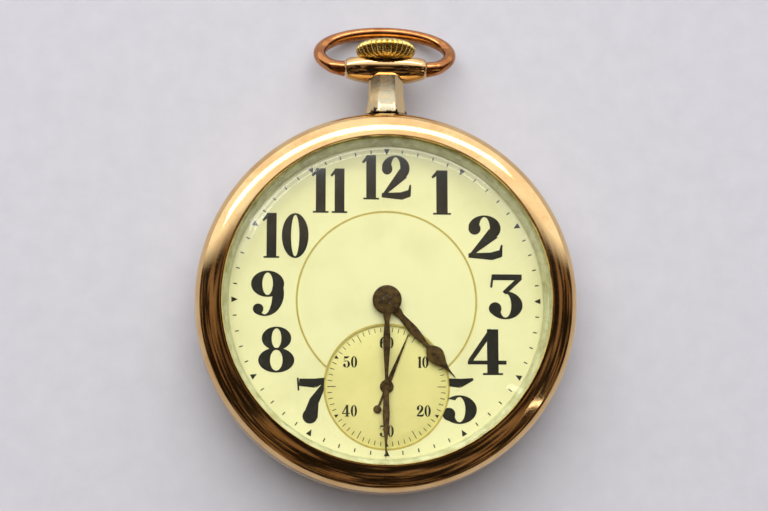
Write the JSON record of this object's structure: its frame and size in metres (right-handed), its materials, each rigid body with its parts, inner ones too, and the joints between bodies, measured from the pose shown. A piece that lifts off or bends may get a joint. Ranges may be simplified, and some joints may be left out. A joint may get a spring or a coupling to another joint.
{
  "type": "open face pocket watch",
  "caption": "Round open face pocket watch lying on its back: domed glass, cream dial with sunk seconds dial, ridged crown in a barrel-shaped pendant, hinged bow, full lever movement",
  "frame": {"origin": "middle of the flat of the case back, on which the watch lies", "axes": "+Z is the dial's normal, +Y points to the crown and twelve o'clock, +X to three o'clock"},
  "size_m": [0.0506, 0.0648, 0.0131],
  "materials": {
    "case_gold": "polished",
    "crown_gold": "satin",
    "pale_gold": "satin",
    "copper_gold": "satin",
    "glass": "gloss",
    "enamel": "gloss",
    "hand_steel": "satin",
    "nickel": "satin",
    "brass": "satin",
    "steel": "satin"
  },
  "bodies": {
    "root": {"case_centre": "case_gold", "pendant": "pale_gold", "pendant_sleeve": "steel", "main_plate": "brass", "barrel_bridge": "nickel", "train_bridge": "nickel", "balance_cock": "nickel", "pallet_bridge": "nickel", "barrel_bridge_screw_left": "steel", "barrel_bridge_screw_top": "steel", "train_bridge_screw": "steel", "balance_cock_screw": "steel", "pallet_bridge_screw": "steel", "case_screw_left": "hand_steel", "case_screw_top": "hand_steel", "dial": "enamel", "seconds_dial": "enamel", "click_spring": "steel", "crown_wheel_screw": "steel", "hairspring": "hand_steel"},
    "bezel": {"bezel": "case_gold", "crystal": "glass"},
    "back": {"case_back": "case_gold"},
    "bow": {"bow": "copper_gold"},
    "winding": {"winding_pinion": "steel"},
    "crown": {"crown": "crown_gold", "stem": "steel"},
    "clutch": {"clutch_wheel": "steel"},
    "crown_wheel": {"crown_wheel": "steel"},
    "ratchet": {"ratchet_wheel": "steel", "barrel_arbor": "steel"},
    "click": {"click": "steel"},
    "lever": {"setting_lever": "steel"},
    "barrel": {"barrel": "brass", "barrel_cover": "brass", "mainspring": "steel"},
    "minute": {"centre_wheel": "brass", "centre_arbor": "steel", "cannon_pinion": "steel", "minute_hand": "hand_steel"},
    "minute_wheel": {"minute_wheel": "brass"},
    "hour": {"hour_wheel": "brass", "hour_hand": "hand_steel"},
    "setting": {"setting_wheel": "steel"},
    "third": {"third_wheel": "brass", "third_arbor": "steel"},
    "seconds": {"fourth_wheel": "brass", "fourth_arbor": "steel", "seconds_hand": "hand_steel"},
    "escape": {"escape_wheel": "steel", "escape_arbor": "steel"},
    "pallet": {"pallet_fork": "steel", "pallet_arbor": "steel"},
    "balance": {"balance_wheel": "brass", "balance_staff": "steel", "roller": "steel"},
    "regulator": {"regulator": "steel"}
  },
  "joints": [
    {"name": "bezel_off", "type": "slide", "parent": "root", "child": "bezel", "axis": [0, 0, 1], "range_m": [0, 0.012]},
    {"name": "back_off", "type": "slide", "parent": "root", "child": "back", "axis": [0, 0, -1], "range_m": [0, 0.012]},
    {"name": "bow_swing", "type": "hinge", "parent": "root", "child": "bow", "pos_m": [0, 0.032, 0.00635], "axis": [1, 0, 0], "range_deg": [-85, 165]},
    {"name": "crown_turn", "type": "hinge", "parent": "root", "child": "winding", "pos_m": [0, 0.017, 0.00635], "axis": [0, 1, 0], "continuous": true},
    {"name": "crown_pull", "type": "slide", "parent": "winding", "child": "crown", "axis": [0, 1, 0], "range_m": [0, 0.001]},
    {"name": "clutch_shift", "type": "slide", "parent": "winding", "child": "clutch", "axis": [0, 1, 0], "range_m": [-0.001, 0]},
    {"name": "lever_swing", "type": "hinge", "parent": "root", "child": "lever", "pos_m": [0.0036, 0.0136, 0.00775], "axis": [0, 0, 1], "range_deg": [0, 10]},
    {"name": "crown_wheel_turn", "type": "hinge", "parent": "root", "child": "crown_wheel", "pos_m": [0, 0.0129, 0.0033], "axis": [0, 0, 1], "continuous": true},
    {"name": "ratchet_turn", "type": "hinge", "parent": "root", "child": "ratchet", "pos_m": [0.00866, 0.00607, 0.0033], "axis": [0, 0, 1], "continuous": true},
    {"name": "click_lift", "type": "hinge", "parent": "root", "child": "click", "pos_m": [0.01645, 0.0089, 0.0033], "axis": [0, 0, -1], "range_deg": [0, 8], "stiffness_Nm_per_rad": 0.0001},
    {"name": "minute_turn", "type": "hinge", "parent": "root", "child": "minute", "pos_m": [0, 0, 0.005], "axis": [0, 0, -1], "continuous": true},
    {"name": "minute_wheel_turn", "type": "hinge", "parent": "root", "child": "minute_wheel", "pos_m": [0, 0.0036, 0.0077], "axis": [0, 0, -1], "continuous": true},
    {"name": "hour_turn", "type": "hinge", "parent": "root", "child": "hour", "pos_m": [0, 0, 0.008], "axis": [0, 0, -1], "continuous": true},
    {"name": "setting_turn", "type": "hinge", "parent": "root", "child": "setting", "pos_m": [0, 0.00855, 0.0077], "axis": [0, 0, -1], "continuous": true},
    {"name": "barrel_turn", "type": "hinge", "parent": "root", "child": "barrel", "pos_m": [0.00866, 0.00607, 0.005], "axis": [0, 0, -1], "continuous": true},
    {"name": "third_turn", "type": "hinge", "parent": "root", "child": "third", "pos_m": [-0.0053, -0.00671, 0.005], "axis": [0, 0, -1], "continuous": true},
    {"name": "seconds_turn", "type": "hinge", "parent": "root", "child": "seconds", "pos_m": [0, -0.0113, 0.005], "axis": [0, 0, -1], "continuous": true},
    {"name": "escape_turn", "type": "hinge", "parent": "root", "child": "escape", "pos_m": [0.00558, -0.0139, 0.005], "axis": [0, 0, -1], "continuous": true},
    {"name": "balance_swing", "type": "hinge", "parent": "root", "child": "balance", "pos_m": [0.0112, -0.0066, 0.004], "axis": [0, 0, 1], "range_deg": [-135, 135], "stiffness_Nm_per_rad": 0.000006},
    {"name": "pallet_swing", "type": "hinge", "parent": "root", "child": "pallet", "pos_m": [0.00811, -0.01061, 0.005], "axis": [0, 0, 1], "range_deg": [-5, 5]},
    {"name": "regulator_swing", "type": "hinge", "parent": "root", "child": "regulator", "pos_m": [0.0112, -0.0066, 0.0014], "axis": [0, 0, 1], "range_deg": [-12, 12]}
  ],
  "couplings": [
    {"joint": "clutch_shift", "follows": "crown_pull", "ratio": -1},
    {"joint": "lever_swing", "follows": "crown_pull", "rad_per_m": 170},
    {"joint": "crown_wheel_turn", "follows": "crown_turn", "ratio": 0.4375},
    {"joint": "ratchet_turn", "follows": "crown_turn", "ratio": -0.41176},
    {"joint": "minute_wheel_turn", "follows": "minute_turn", "ratio": -0.33333},
    {"joint": "hour_turn", "follows": "minute_turn", "ratio": 0.083333},
    {"joint": "setting_turn", "follows": "minute_turn", "ratio": 0.4},
    {"joint": "barrel_turn", "follows": "minute_turn", "ratio": -0.15385},
    {"joint": "third_turn", "follows": "minute_turn", "ratio": -8},
    {"joint": "seconds_turn", "follows": "minute_turn", "ratio": 60},
    {"joint": "escape_turn", "follows": "minute_turn", "ratio": -600},
    {"joint": "pallet_swing", "follows": "balance_swing", "ratio": -0.035}
  ]
}
